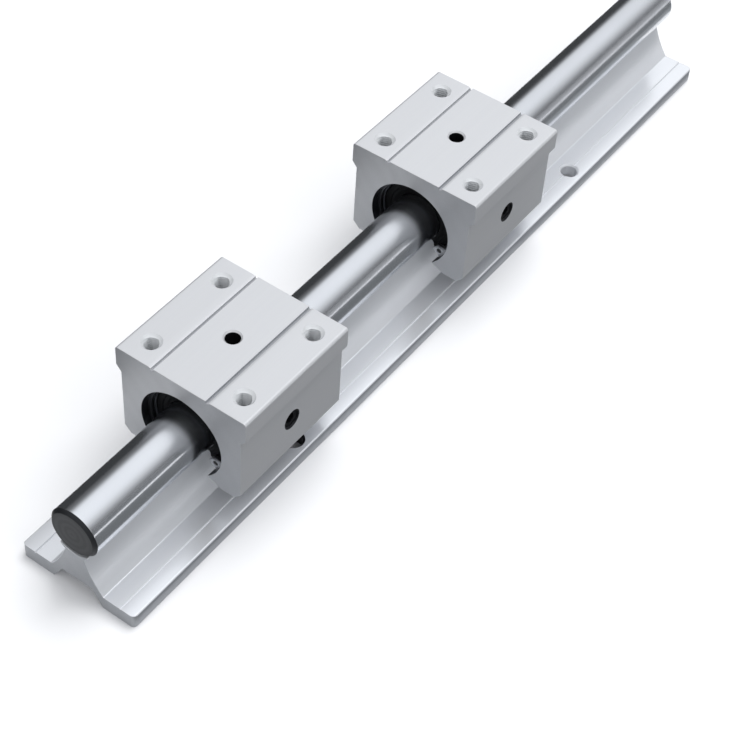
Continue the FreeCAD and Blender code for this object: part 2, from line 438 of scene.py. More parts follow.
def bored_aluminium(name, hex_colour, roughness, metallic):
    material, tree, shader = new_material(name)
    place = add(tree, "ShaderNodeTexCoord").outputs["Object"]
    feed = add(tree, "ShaderNodeTexWave", {
        "Vector": place, "Scale": wave_scale(FEED_MM), "Distortion": 0.4, "Detail": 1.0},
        bands_direction="Y")
    rough = add(tree, "ShaderNodeMapRange", {
        "Value": feed.outputs["Fac"], "From Min": NOISE_LOW, "From Max": NOISE_HIGH,
        "To Min": roughness + 0.06, "To Max": roughness - 0.06})
    marks = add(tree, "ShaderNodeBump", {
        "Height": feed.outputs["Fac"], "Strength": 0.2, "Distance": 0.02 * MM})
    fill_inputs(tree, shader, {
        "Base Color": linear(hex_colour), "Roughness": rough.outputs["Result"], "Metallic": metallic,
        "Normal": marks.outputs["Normal"]})
    return material


support_end = sawn_aluminium(
    "sawn aluminium, support ends", "aaadb1", "b2b5b9", roughness=0.40, metallic=0.4)
block_end = sawn_aluminium(
    "milled aluminium, block ends", "bcbec1", "c4c6c9", roughness=0.38, metallic=0.4)
# near-black bore walls: painted shade for the shade deep in the bore
bored = bored_aluminium("aluminium bore wall, painted shade", "2b2d31", roughness=0.36, metallic=0.5)
tapped = bored_aluminium("tapped aluminium", "dcdee0", roughness=0.40, metallic=0.3)
drilled = bored_aluminium("drilled aluminium, support holes", "d8dade", roughness=0.40, metallic=0.3)
# near-black walls for holes that lie in deep shade: painted shade
painted_shade_holes = bored_aluminium("drilled aluminium, in painted shade", "1c1d20", roughness=0.35, metallic=0.4)

# %% [markdown]
# ## Ground shaft steel
#
# The shaft is bearing steel, hardened and centreless ground to a near mirror. It shows the light above it
# as one broad white band and everything dark beside it as a dark stripe, so its roughness is low. The
# grinding marks run round it and smear its reflections along it, so the shader is anisotropic. They are far
# finer than a pixel, so the bands here are 0.6 mm and faint. The other steels are plainer: the shaft's ends
# are faced, the sleeve is turned, in rings drawn 2.2 mm apart, and the spring rings are dark with phosphate.
# The shaft's ends and the sleeve are coloured dark as painted shade, and the spring rings carry a painted
# highlight on their lowest part, the ears.

# %% Ground steel and its cropped ends
def ground_steel(name):
    material, tree, shader = new_material(name)
    marks = noise_lines(tree, across_mm=60, along_mm=0.6, detail=2.0)
    patches = noise_lines(tree, across_mm=14, along_mm=25, detail=1.0)
    vary(tree, shader, patches.outputs["Fac"], "d6d8dc", "dfe1e5", 0.19, 0.16, marks.outputs["Fac"])
    around = add(tree, "ShaderNodeTangent", direction_type="RADIAL", axis="Y")
    rings = add(tree, "ShaderNodeBump", {
        "Height": marks.outputs["Fac"], "Strength": 0.03, "Distance": 0.005 * MM})
    fill_inputs(tree, shader, {
        "Metallic": 1.0, "Anisotropic": 0.9, "Anisotropic Rotation": 0.25,
        "Tangent": around.outputs["Tangent"], "Normal": rings.outputs["Normal"]})
    return material


LATHE_RING_MM = 2.199


def turned_steel(name, low_hex, high_hex, roughness, metallic, depth):
    """Steel faced on a lathe: rings about the shaft's own axis."""
    material, tree, shader = new_material(name)
    place = add(tree, "ShaderNodeTexCoord").outputs["Object"]
    centred = add(tree, "ShaderNodeMapping", {"Vector": place, "Location": (0, 0, -SHAFT_Z * MM)})
    rings = add(tree, "ShaderNodeTexWave", {
        "Vector": centred.outputs["Vector"], "Scale": wave_scale(LATHE_RING_MM), "Distortion": 0.3,
        "Detail": 2.0}, wave_type="RINGS", rings_direction="Y")
    vary(tree, shader, rings.outputs["Fac"], low_hex, high_hex, roughness + 0.02, roughness - 0.02)
    tool = add(tree, "ShaderNodeBump", {
        "Height": rings.outputs["Fac"], "Strength": depth, "Distance": 0.01 * MM})
    fill_inputs(tree, shader, {"Metallic": metallic, "Normal": tool.outputs["Normal"]})
    return material


# painted highlight: the ring is bright below these heights
PAINTED_HIGHLIGHT_Z = (19.0, 20.5)  # bright below the first height, dark above the second, ragged between them


def phosphated_spring_with_highlight(name):
    """Dark phosphated ring with a painted highlight: its lowest part, the ears, is bright."""
    material, tree, shader = new_material(name)
    place = add(tree, "ShaderNodeTexCoord").outputs["Object"]
    up = add(tree, "ShaderNodeSeparateXYZ", {"Vector": place}).outputs["Z"]
    cloud = noise_lines(tree, across_mm=1.2, along_mm=1.2, detail=3.0)
    ragged = add(tree, "ShaderNodeMath", {
        0: cloud.outputs["Fac"], 1: 2.0 * MM, 2: up}, operation="MULTIPLY_ADD")
    dark = add(tree, "ShaderNodeMapRange", {
        "Value": ragged.outputs[0], "From Min": PAINTED_HIGHLIGHT_Z[0] * MM, "From Max": PAINTED_HIGHLIGHT_Z[1] * MM})
    vary(tree, shader, dark.outputs["Result"], "d8dadd", "4a4c50", 0.38, 0.30, cloud.outputs["Fac"])
    fill_inputs(tree, shader, {"Metallic": 0.8})
    return material


shaft_skin = ground_steel("bearing steel, hardened and centreless ground")
# the shaft's ends are coloured near black: painted shade
shaft_end_shade = turned_steel(
    "hardened steel, shaft end, faced, painted shade", "26282b", "27292c", roughness=0.5, metallic=0.4, depth=0.003)
# the sleeve's dark grey is painted shade for the shade inside the bore
sleeve_steel_shade = turned_steel(
    "bearing steel, sleeve, turned, painted shade", "4c4e52", "5a5c60", roughness=0.34, metallic=1.0, depth=0.12)
spring_steel = phosphated_spring_with_highlight("spring steel, phosphated, painted highlight on the ears")

# %% [markdown]
# ## Rubber, resin and black oxide
#
# The seals are moulded nitrile rubber and the ball cage is moulded resin. Both are nearly black, and a
# fine noise in their roughness keeps them from looking like holes. The screws are blackened steel: the
# oxide is thin, so it still reflects as metal, and it rubs to grey on the crests.

# %% Rubber, resin and blackened steel
def moulded(name, low_hex, high_hex, roughness, grain_mm, bump, specular):
    material, tree, shader = new_material(name)
    grain = noise_lines(tree, grain_mm, grain_mm, detail=3.0)
    vary(tree, shader, grain.outputs["Fac"], low_hex, high_hex, roughness + 0.08, roughness - 0.08)
    skin_bump = add(tree, "ShaderNodeBump", {
        "Height": grain.outputs["Fac"], "Strength": bump, "Distance": 0.02 * MM})
    fill_inputs(tree, shader, {"Specular IOR Level": specular, "Normal": skin_bump.outputs["Normal"]})
    return material


def blackened_steel(name):
    material, tree, shader = new_material(name)
    cloud = noise_lines(tree, across_mm=0.9, along_mm=0.9, detail=3.0)
    vary(tree, shader, cloud.outputs["Fac"], "101113", "1c1d20", 0.5, 0.36)
    fill_inputs(tree, shader, {"Metallic": 0.6})
    return material


rubber = moulded("nitrile rubber, moulded seal", "08090b", "101114",
                 roughness=0.55, grain_mm=0.4, bump=0.2, specular=0.15)
resin = moulded("acetal resin, moulded ball cage", "101012", "18181b",
                roughness=0.42, grain_mm=0.8, bump=0.1, specular=0.4)
black_oxide = blackened_steel("alloy steel, black oxide")

# %% [markdown]
# ## Putting a piece in place
#
# A piece needs its materials, the body it rides on and the CAD nodes it stands for. A rule that looks at
# each face picks the material, so one mesh can have a sawn end.

# %% Placing a piece
def place_piece(piece, body, materials, rule=None, stands_for=()):
    """Finish a piece; the rule gives each face's material from its centre in mm and its normal."""
    for material in materials:
        piece.data.materials.append(material)
    for face in piece.data.polygons:
        face.material_index = rule(face.center / MM, face.normal) if rule else 0
    finish_shape(piece)
    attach(piece, body)
    if stands_for:
        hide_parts(*stands_for)
    print(piece.name, "rides on", body, "with", len(piece.data.polygons), "faces")

# %% [markdown]
# ## The shaft
#
# A turned piece: a plain cylinder with a chamfer at each end, and two tapped holes underneath for the
# screws that hold it. Those screws fill the holes and hide their threads, so the holes are cut plain. The
# chamfer's corners are touched with a stone, so they get a tiny radius.

# %% Shaft
SCREW_STATIONS = (-75.0, 75.0)
CROPPED = 1.05  # how far the cropped end reaches in, its chamfer included


def shaft_profile():
    """(radius, height) points from one end's middle to the other's."""
    corners = [(0, -RAIL_HALF), (6.9, -RAIL_HALF), (7.04, -RAIL_HALF + 0.03), (7.12, -RAIL_HALF + 0.1)]
    corners += [(7.9, -RAIL_HALF + 0.88), (7.98, -RAIL_HALF + 1.0), (SHAFT_R, -RAIL_HALF + 1.12)]
    return corners + [(r, -h) for r, h in reversed(corners)]


def plain_hole(radius, y, z_from, z_to):
    """Cutter for a drilled hole on the rail's middle, from one height to the other."""
    profile = [(0, z_from), (radius, z_from), (radius, z_to), (0, z_to)]
    return turned(profile, along((0, 0, 1), (0, y, 0)), 48)


shaft = as_object("round_shaft", turned(shaft_profile(), along((0, 1, 0), (0, 0, SHAFT_Z)), 160))
cut(shaft, [plain_hole(radius=2.5, y=y, z_from=10.0, z_to=27.0) for y in SCREW_STATIONS])


def shaft_faces(centre, normal):
    """The cropped ends and their chamfers get the darker steel, whose darkness is painted shade; the ground
    skin keeps the rest.
    """
    return 1 if abs(centre.y) > RAIL_HALF - CROPPED else 0


place_piece(shaft, "rail", [shaft_skin, shaft_end_shade], shaft_faces, ["shaft"])

# %% [markdown]
# ## The support
#
# The extrusion has two long feet, two thin flanges, a waisted web and a cradle that the shaft lies in. A
# fine V line along each flange marks where its holes go. The holes are drilled after extruding and then
# deburred, so each cutter flares at both faces. A hole drawn by a texture would have no depth when seen
# from the side, so all are cut. The front ones lie in the shade under the front block and look nearly
# black, so they get a near-black finish: painted shade.

# %% Support outline
CRADLE_R = 8.02
LIP_R = 8.52  # where the cradle's outer corners lie, from the shaft's centre
LIP_HALF = 4.6
FLANGE_TOP = 5.0
HOLE_X = 15.0
SUPPORT_HALF = 20.0


def support_outline():
    """Cradle, web, flange, V line, foot and recess of the right half, mirrored to the left."""
    lip = math.degrees(math.asin(LIP_HALF / CRADLE_R))
    corners = arc_on_shaft(CRADLE_R, 0, lip, 8)
    corners[-1] = corners[-1][:2] + (0.2,)
    corners += [arc_on_shaft(LIP_R, lip, lip, 1)[0][:2] + (0.2,), (3.2, 16.5, 0.3)]
    corners += arc_through((3.2, 16.5), (6.2, 9.5), (9.25, FLANGE_TOP), 14)
    corners += [(9.25, FLANGE_TOP, 0.5), (14.7, FLANGE_TOP, 0), (HOLE_X, 4.7, 0), (15.3, FLANGE_TOP, 0)]
    corners += [(SUPPORT_HALF, FLANGE_TOP, 0.6), (SUPPORT_HALF, 0.0, 0.7), (8.7, 0.0, 0.5), (5.3, 5.5, 0.5)]
    return soften(mirrored(corners))


outline = support_outline()
print("support outline:", len(outline), "points,", round(max(p.x for p in outline) * 2, 2), "mm wide")

# %% Support with its holes
HOLE_R = 2.75
FLARE = 0.6


def flange_hole(x, y):
    """Cutter for a hole through a flange, its two rims broken by a small flare."""
    wide = HOLE_R + FLARE + 1
    profile = [(0, -1), (wide, -1), (HOLE_R, FLARE), (HOLE_R, FLANGE_TOP - FLARE),
               (wide, FLANGE_TOP + 1), (0, FLANGE_TOP + 1)]
    return turned(profile, along((0, 0, 1), (x, y, 0)), 64)


UPRIGHT_CORNER = 1.6
support = as_object("support_rail", bar(outline, -RAIL_HALF, RAIL_HALF, edge=0.18, corner=UPRIGHT_CORNER))
holes = [flange_hole(x, y) for x in (-HOLE_X, HOLE_X) for y in SCREW_STATIONS]
holes += [plain_hole(HOLE_R, y, z_from=2.0, z_to=18.5) for y in SCREW_STATIONS]
cut(support, holes)

# %% Support's faces and their finishes
END_FACE = 0.02  # a face whose centre lies this near to a bar's end is its sawn face
HOLE_REACH = 3.4


def support_faces(centre, normal):
    """0 skin, 1 sawn ends and their corners, 2 outer sides in painted shade, 3 holes, 4 front holes in
    painted shade.
    """
    from_end = RAIL_HALF - abs(centre.y)
    if from_end < END_FACE or (from_end < UPRIGHT_CORNER and abs(normal.z) < 0.3):
        return 1
    # the flanges' upright outer sides get the darker colour: painted shade
    if abs(normal.x) > 0.95 and abs(centre.x) > SUPPORT_HALF - 0.1:
        return 2
    at_station = abs(abs(centre.y) - SCREW_STATIONS[1]) < HOLE_REACH
    in_a_row = min(abs(abs(centre.x) - HOLE_X), abs(centre.x)) < HOLE_REACH
    if at_station and in_a_row and abs(normal.z) < 0.9 and centre.z < FLANGE_TOP - 0.05:
        # the front holes, in the shade under the front block, get the near-black colour: painted shade
        return 3 if centre.y > 0 else 4
    return 0


support_materials = [support_skin, support_end, support_side_shade, drilled, painted_shade_holes]
place_piece(support, "rail", support_materials, support_faces, ["rail_support"])

# %% [markdown]
# ## Screws and threads
#
# A thread is a groove wound round a cylinder. Its radius depends on one number, the height in pitches less
# the turn, so a plain grid of rings shows a true helix once each vertex is moved to that radius. The same
# function makes the screws and, turned inside out by a boolean, the tapped holes.

# %% Threaded cylinder
M5_PITCH, M6_PITCH = 0.8, 1.0
RINGS_PER_PITCH = 5
print("rings per thread:", RINGS_PER_PITCH, "for pitches of", M5_PITCH, "and", M6_PITCH, "mm")


def thread_depth(height, turn, pitch):
    """0 at the bottom of the groove and 1 at its top, for a turn in degrees."""
    phase = (height / pitch - turn / 360) % 1
    return min(1, max(0, 1.5 - 3 * abs(phase - 0.5)))


def stacked(rings, place):
    """Closed solid from rings, each a list of (radius, height) points evenly spaced round the axis."""
    mesh = bmesh.new()
    loops = []
    for ring in rings:
        loop = []
        for k, (radius, height) in enumerate(ring):
            a = 2 * math.pi * k / len(ring)
            loop.append(mesh.verts.new((radius * math.cos(a), radius * math.sin(a), height)))
        loops.append(loop)
    skin(mesh, loops)
    mesh.transform(place)
    return mesh


def threaded(outer, inner, pitch, z_from, z_to, place, ends, segments=36):
    """Solid with a helical thread; ends are the (radius, height) points below and above the thread."""
    below, above = ends
    count = max(2, round((z_to - z_from) / pitch * RINGS_PER_PITCH))
    rings = [[point] * segments for point in below]
    for k in range(count + 1):
        height = z_from + (z_to - z_from) * k / count
        shares = [thread_depth(height, 360 * i / segments, pitch) for i in range(segments)]
        rings.append([(inner + (outer - inner) * share, height) for share in shares])
    rings += [[point] * segments for point in above]
    return stacked(rings, place)


DRILL_POINT = 0.35  # height of the cone under a socket, in radii of the socket


def hexagon_key(across_flats, bottom, top, place):
    """Cutter for a hexagon socket, with the cone that drilling leaves under it."""
    corner = across_flats / 2 / math.cos(math.radians(30))
    point = bottom + math.copysign(corner * DRILL_POINT, bottom - top)
    profile = [(0, point), (corner, bottom), (corner, top), (0, top)]
    return turned(profile, place, 6)


# %% Socket head screws under the shaft
KNURLS = 48
KNURL_DEPTH = 0.14
HEAD_ROWS = [(3.7, 0.5, 0), (4.25, 1.0, 0), (4.25, 1.3, 1), (4.25, 4.6, 1), (4.25, 4.9, 0),
             (4.25, 5.48, 0), (2.45, 5.5, 0), (2.45, 9.0, 0)]  # radius, height, 1 where the knurling bites


def screw_head(place):
    """Head and plain neck; every fourth point of a knurled row is pressed in."""
    rings = []
    for radius, height, bite in HEAD_ROWS:
        pressed = [KNURL_DEPTH * bite * (k % 4 == 0) for k in range(KNURLS * 4)]
        rings.append([(radius - depth, height) for depth in pressed])
    return stacked(rings, place)


def socket_screw(name, y, stands_for):
    """M5 screw with its head down in the recess: knurled head, hexagon socket, thread to the tip."""
    place = along((0, 0, 1), (0, y, 0))
    head = as_object(name, screw_head(place))
    cut(head, [hexagon_key(across_flats=4.0, bottom=3.0, top=0.0, place=place)])
    ends = ([(2.05, 8.6)], [(1.7, 25.45)])
    thread = threaded(2.45, 2.05, M5_PITCH, z_from=9.0, z_to=25.0, place=place, ends=ends)
    shank = as_object("shank", thread)
    joined = bmesh.new()
    for part in (head, shank):
        joined.from_mesh(part.data)
    data = bpy.data.meshes.new(name)
    joined.to_mesh(data)
    joined.free()
    bpy.data.meshes.remove(shank.data)
    head.data = data
    place_piece(head, "rail", [black_oxide], None, [stands_for])


for i, y in enumerate(SCREW_STATIONS):
    socket_screw(f"socket_screw_{i + 1}", y, f"shaft_screw_{i + 1}")

# %% [markdown]
# ## The blocks
#
# Each block is a slice of a second extrusion: a square top with two fine grooves, a step down each side,
# and a round bore that is open below so that the support can pass. The top has four tapped holes and an
# oil hole, and the +X side has a tapped hole for a set screw. Two grooves in the bore hold the spring
# rings that keep the bushing in.

# %% Block outline
BLOCK_HALF = 22.5
BLOCK_TOP = 45.0
BORE_R = 14.02


def block_outline():
    """Groove, top, step, side, foot and half of the bore on the right, mirrored to the left."""
    corners = [(8.95, BLOCK_TOP, 0), (9.0, 44.2, 0), (9.8, 44.2, 0), (9.95, 44.8, 0), (10.8, BLOCK_TOP, 0)]
    corners += [(BLOCK_HALF, BLOCK_TOP, 1.0), (BLOCK_HALF, 38.0, 0.35), (20.8, 36.0, 0.35)]
    corners += [(20.8, 14.3, 0.5), (18.5, 12.0, 0.5), (14.0, 12.0, 0.5)]
    bore = arc_on_shaft(BORE_R, 40, 180, 56)
    bore[0] = bore[0][:2] + (0.35,)
    return soften(mirrored(corners + bore))


block_section = block_outline()
print("block outline:", len(block_section), "points")

# %% Cutters for the block's holes
TOP_HOLES = [(x, y) for x in (-16, 16) for y in (-15, 15)]
SIDE_HOLE_Z = 26.0
RING_Y = 19.2
print("tapped holes in each top:", TOP_HOLES)


def tapped_top_hole(x, y):
    """M5 tapped hole from the top, 12 mm deep, countersunk at its mouth and with a drill's point below."""
    place = along((0, 0, -1), (x, y, BLOCK_TOP))
    ends = ([(4.2, -1.0), (3.2, 0.0), (2.6, 0.6)], [(2.1, 12.1), (0.05, 13.4)])
    return threaded(2.6, 2.1, M5_PITCH, z_from=0.75, z_to=12.0, place=place, ends=ends)


def oil_hole():
    """Plain hole in the middle of the top, down to the bushing and countersunk at its mouth."""
    profile = [(0, 20.0), (2.3, 20.0), (2.3, 44.5), (3.8, 46.0), (0, 46.0)]
    return turned(profile, Matrix.Identity(4), 48)


def side_hole():
    """M6 tapped hole in the +X side, through to the bore."""
    place = along((1, 0, 0), (0, 0, SIDE_HOLE_Z))
    ends = ([(2.6, 12.0)], [(3.0, 20.5), (4.3, 21.8)])
    return threaded(3.0, 2.6, M6_PITCH, z_from=12.5, z_to=20.3, place=place, ends=ends, segments=48)


def ring_groove(y):
    """Groove for a spring ring, 1.3 mm wide and 0.7 mm deep in the wall of the bore."""
    profile = [(13.0, -0.65), (14.7, -0.65), (14.7, 0.65), (13.0, 0.65)]
    return turned(profile, along((0, 1, 0), (0, y, SHAFT_Z)), 120, closed=True)


# %% A block's faces and their finishes
def block_rule(y):
    """Rule for the block at y; the limits lie just outside the holes, rims and grooves that they pick."""
    def block_faces(centre, normal):
        """0 skin, 1 milled ends, 2 bore, 3 tapped holes, 4 oil hole and side hole, 5 fine grooves; 2, 4 and
        5 are painted shade.
        """
        along_y = centre.y - y
        if abs(along_y) > BLOCK_HALF - END_FACE:
            return 1
        # the bore's wall gets the near-black colour: painted shade
        if math.hypot(centre.x, centre.z - SHAFT_Z) < 14.9 and abs(normal.y) < 0.9 and centre.z > 13.9:
            return 2
        from_tapped = min(math.hypot(centre.x - hole_x, along_y - hole_y) for hole_x, hole_y in TOP_HOLES)
        if 30 < centre.z < BLOCK_TOP - 0.01 and from_tapped < 3.3:
            return 3
        # the oil hole's and the side hole's walls get the near-black colour: painted shade
        if 30 < centre.z < BLOCK_TOP - 0.55 and math.hypot(centre.x, along_y) < 2.6:
            return 4
        if 12 < centre.x < 20.75 and math.hypot(along_y, centre.z - SIDE_HOLE_Z) < 3.4:
            return 4
        # the fine grooves get the darker colour: painted shade
        return 5 if 8.9 < abs(centre.x) < 9.85 and 44.1 < centre.z < 44.9 else 0
    return block_faces


block_materials = [block_skin, block_end, bored, tapped, painted_shade_holes, block_groove_shade]
print("finishes of a block:", [material.name for material in block_materials])


# %% Blocks
def make_block(name, y, stands_for):
    block = as_object(name, bar(block_section, -BLOCK_HALF, BLOCK_HALF, edge=0.22))
    cutters = [tapped_top_hole(x, along_y) for x, along_y in TOP_HOLES]
    cutters += [oil_hole(), side_hole(), ring_groove(-RING_Y), ring_groove(RING_Y)]
    cut(block, cutters)
    block.data.transform(Matrix.Translation((0, y * MM, 0)))
    body = "carriage_" + name.split("_")[0]
    place_piece(block, body, block_materials, block_rule(y), [stands_for])


CARRIAGES = {"front": -84.0, "rear": 24.0}
for side, y in CARRIAGES.items():
    make_block(f"{side}_block", y, f"{side}_case")

# %% [markdown]
# ## The bushings
#
# Inside each block sits an open ball bushing: a steel sleeve with a slot below, a resin ball cage and a
# rubber seal at each end whose lip wipes the shaft. All are turned about the shaft, with 80 degrees left
# out. The lip is what the eye finds, so the seal's profile has a step and a thin tapered lip.

# %% Sleeves and seals
SLOT = 80.0
AXIS_Y = Matrix(((1, 0, 0, 0), (0, 0, 1, 0), (0, -1, 0, 0), (0, 0, 0, 1)))  # Z to +Y, 90 degrees down


def slotted(profile, y):
    """Piece turned about the shaft with the slot left out below."""
    place = Matrix.Translation((0, y, SHAFT_Z)) @ AXIS_Y
    return turned(profile, place, 112, closed=True, start=90 + SLOT / 2, sweep=360 - SLOT)


def sleeve_profile():
    """Section of the sleeve, its four edges broken."""
    outer, inner, half, edge = 14.0, 12.4, 18.5, 0.35
    return [(inner, half - edge), (inner + edge, half), (outer - edge, half), (outer, half - edge),
            (outer, -half + edge), (outer - edge, -half), (inner + edge, -half), (inner, -half + edge)]


def seal_profile(end):
    """Section of a seal; its heights run outwards from the middle of the bushing."""
    section = [(12.35, 15.6), (12.35, 17.8), (12.1, 18.05), (10.4, 18.05), (10.1, 17.75), (9.2, 17.6),
               (8.5, 18.0), (8.17, 18.05), (8.15, 17.85), (8.6, 17.0), (8.8, 15.6)]
    return [(r, end * h) for r, h in section]


for side, y in CARRIAGES.items():
    sleeve = as_object(f"{side}_bushing_sleeve", slotted(sleeve_profile(), y))
    place_piece(sleeve, f"carriage_{side}", [sleeve_steel_shade], None, [f"{side}_bearing_shell"])
    for end, word in ((-1, "near"), (1, "far")):
        seal = as_object(f"{side}_{word}_seal", slotted(seal_profile(end), y))
        place_piece(seal, f"carriage_{side}", [rubber], None, [f"{side}_end_seal_{word}"])

# %% [markdown]
# ## Spring rings
#
# A sprung steel ring in a groove holds each end of the bushing. It is stamped from flat strip, so it is
# one outline with a thickness, and its two ends widen into ears with a small hole for the pliers.

# %% Spring rings
RING_ENDS = (44.0, 316.0)  # degrees from straight down, as the angles of the eyes are
RING_STEPS = 120
RING_OUTER_R, RING_INNER_R = 14.55, 13.0
EAR_DEPTH, EAR_SWEEP, EAR_SLOPE = 2.3, 21, 5
EYE_ANGLES, EYE_FROM_AXIS, EYE_R = (52.5, 307.5), 12.4, 0.85
RING_HALF = 0.55


def ring_outline():
    """Outline in the ring's plane: x to the right, y up, centred on the shaft."""
    first, last = RING_ENDS
    outer, inner = [], []
    for k in range(RING_STEPS + 1):
        a = first + (last - first) * k / RING_STEPS
        from_end = min(a - first, last - a)
        rise = min(1, max(0, (EAR_SWEEP - from_end) / EAR_SLOPE))
        inner_r = RING_INNER_R - EAR_DEPTH * rise * rise * (3 - 2 * rise)
        turn = math.radians(a)
        rounded = 0.4 if k in (0, RING_STEPS) else 0
        outer.append((RING_OUTER_R * math.sin(turn), -RING_OUTER_R * math.cos(turn), rounded))
        inner.append((inner_r * math.sin(turn), -inner_r * math.cos(turn), rounded))
    return soften(outer + inner[::-1])


def make_ring(name, side, y):
    flat = [Vector((p.x, p.y + SHAFT_Z)) for p in ring_outline()]
    ring = as_object(name, bar(flat, y - RING_HALF, y + RING_HALF, edge=0.15))
    eyes = []
    for a in (math.radians(angle) for angle in EYE_ANGLES):
        at = (EYE_FROM_AXIS * math.sin(a), 0, SHAFT_Z - EYE_FROM_AXIS * math.cos(a))
        profile = [(0, y - 1), (EYE_R, y - 1), (EYE_R, y + 1), (0, y + 1)]
        eyes.append(turned(profile, along((0, 1, 0), at), 24))
    cut(ring, eyes)
    place_piece(ring, f"carriage_{side}", [spring_steel])


for side, y in CARRIAGES.items():
    make_ring(f"{side}_near_spring_ring", side, y - RING_Y)
    make_ring(f"{side}_far_spring_ring", side, y + RING_Y)

# %% [markdown]
# ## Set screws
#
# The hole in each block's +X side holds a short set screw that presses on the bushing. It sits just
# below the face, so only its dark hexagon socket shows.

# %% Set screws
def make_set_screw(side, y):
    place = along((1, 0, 0), (0, y, SIDE_HOLE_Z))
    ends = ([(2.2, 14.04), (2.6, 14.4)], [(2.6, 19.8), (2.4, 20.0)])
    mesh = threaded(2.95, 2.6, M6_PITCH, z_from=14.6, z_to=19.6, place=place, ends=ends, segments=48)
    screw = as_object(f"{side}_side_screw", mesh)
    cut(screw, [hexagon_key(across_flats=3.0, bottom=17.5, top=21.0, place=place)])
    place_piece(screw, f"carriage_{side}", [black_oxide], None, [f"{side}_set_screw"])


for side, y in CARRIAGES.items():
    make_set_screw(side, y)

# %% [markdown]
# ## Ball cages
#
# The cage's shape is right in the frame and the seals hide it, so its node stays and only gets its finish.

# %% Finish for the ball cages
for side in CARRIAGES:
    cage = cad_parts[f"{side}_ball_cage"]
    for holder in cage.material_slots:
        holder.material = resin
    print(cage.name, "keeps its own mesh, in", resin.name)

# %% [markdown]
# ## Floor
#
# The floor is white paper. Eyes, mirrors and glass see it white, through the Light Path node, while the
# light that it throws back on the part is that of a grey one, so the part's shaded faces keep their depth.
# It is a real diffuse surface, so it takes the part's soft shadow.

# %% Paper floor
FLOOR_HALF = 12000


def paper(name):
    """White to eyes, mirrors and glass, and grey to the light that bounces off it."""
    material, tree, shader = new_material(name)
    path = add(tree, "ShaderNodeLightPath")
    seen = add(tree, "ShaderNodeMath", {0: path.outputs["Is Camera Ray"], 1: path.outputs["Is Glossy Ray"]},
               operation="MAXIMUM")
    seen = add(tree, "ShaderNodeMath", {0: seen.outputs[0], 1: path.outputs["Is Transmission Ray"]},
               operation="MAXIMUM")
    colour = add(tree, "ShaderNodeMix", {
        "Factor": seen.outputs[0], "A": linear("707174"), "B": linear("f6f6f7")}, data_type="RGBA")
    fill_inputs(tree, shader, {
        "Base Color": colour.outputs["Result"], "Roughness": 0.9, "Specular IOR Level": 0.1})
    return material


floor_mesh = bmesh.new()
bmesh.ops.create_grid(floor_mesh, x_segments=1, y_segments=1, size=FLOOR_HALF)
floor = as_object("floor", floor_mesh)
floor.data.materials.append(paper("white paper"))
print("floor:", [round(v, 2) for v in floor.dimensions], "m")

# %% [markdown]
# ## Paper wall
#
# Seen from low down, a flat floor would end in a hard line. In a studio the paper curves up behind the part
# for that reason, so here it curves up into a wall all round. Only the camera and reflections see this
# wall. It casts no shadow and throws back no light, so it doesn't change the light on the part.

# %% Paper wall all round
WALL_FOOT_R = 9000
CURVE_R = 2000
WALL_TOP = 3000


def wall_section():
    """A quarter circle that starts 1 mm above the floor, and a straight piece above it."""
    turns = [math.radians(a) for a in range(0, 91, 10)]
    curve = [(WALL_FOOT_R + CURVE_R * math.sin(t), CURVE_R + 1 - CURVE_R * math.cos(t)) for t in turns]
    return curve + [(WALL_FOOT_R + CURVE_R, WALL_TOP)]


wall = as_object("paper_wall", turned(wall_section(), Matrix.Identity(4), 128))
wall.data.materials.append(floor.data.materials[0])
wall.data.shade_smooth()
wall.visible_shadow = False
wall.visible_diffuse = False
print("wall:", [round(v, 2) for v in wall.dimensions], "m")

# %% [markdown]
# ## Light
#
# A mirror-bright bar only shows what stands around it. In the photograph it shows one broad white light
# overhead that stops short on the left and fades slowly to the right. So the world is a strip across the
# ceiling, slanted to the rail, drawn by two colour ramps: one across the strip and one along the rail.
# Towards the front the strip gives way to an even pale grey, which lights the end faces. A picture of a
# studio would do as well, but this way each level can be set by itself.

# %% World
COOL = (0.972, 0.984, 1.0)  # the light is a touch cooler than grey
STRIP_LEVELS = [(0.0, 0.05), (1.0, 0.26), (0.18, 0.11), (0.26, 0.155), (0.31, 0.21), (0.345, 0.36),
                (0.378, 0.74), (0.403, 1.0), (0.45, 1.06), (0.517, 1.05), (0.567, 0.95), (0.603, 0.82),
                (0.648, 0.68), (0.709, 0.49), (0.80, 0.345)]
RUN_LEVELS = [(0.0, 0.9), (1.0, 0.58), (0.5, 0.97), (0.62, 1.0), (0.8, 0.83)]
FRONT_FILL = "cfd0d2"
HORIZON = 0.03  # lowest height of a direction, so that nothing is divided by zero
SLANT = 0.43  # the strip lies 23 degrees off the rail
STRIP_MIDDLE = 0.387  # this and the next three are in heights of the ceiling
STRIP_HALF = 3.26
RUN_HALF = 2.0
FRONT_REACH = -0.7  # the pale grey is whole from here on
DOME_STRENGTH = 1.15


def set_stops(ramp, levels):
    """Give a ramp its (position, grey level) stops; a new ramp already has the first two, its ends."""
    for i, (at, level) in enumerate(levels):
        stop = ramp.elements[i] if i < 2 else ramp.elements.new(at)
        stop.position = at
        stop.color = [level * share for share in COOL] + [1]


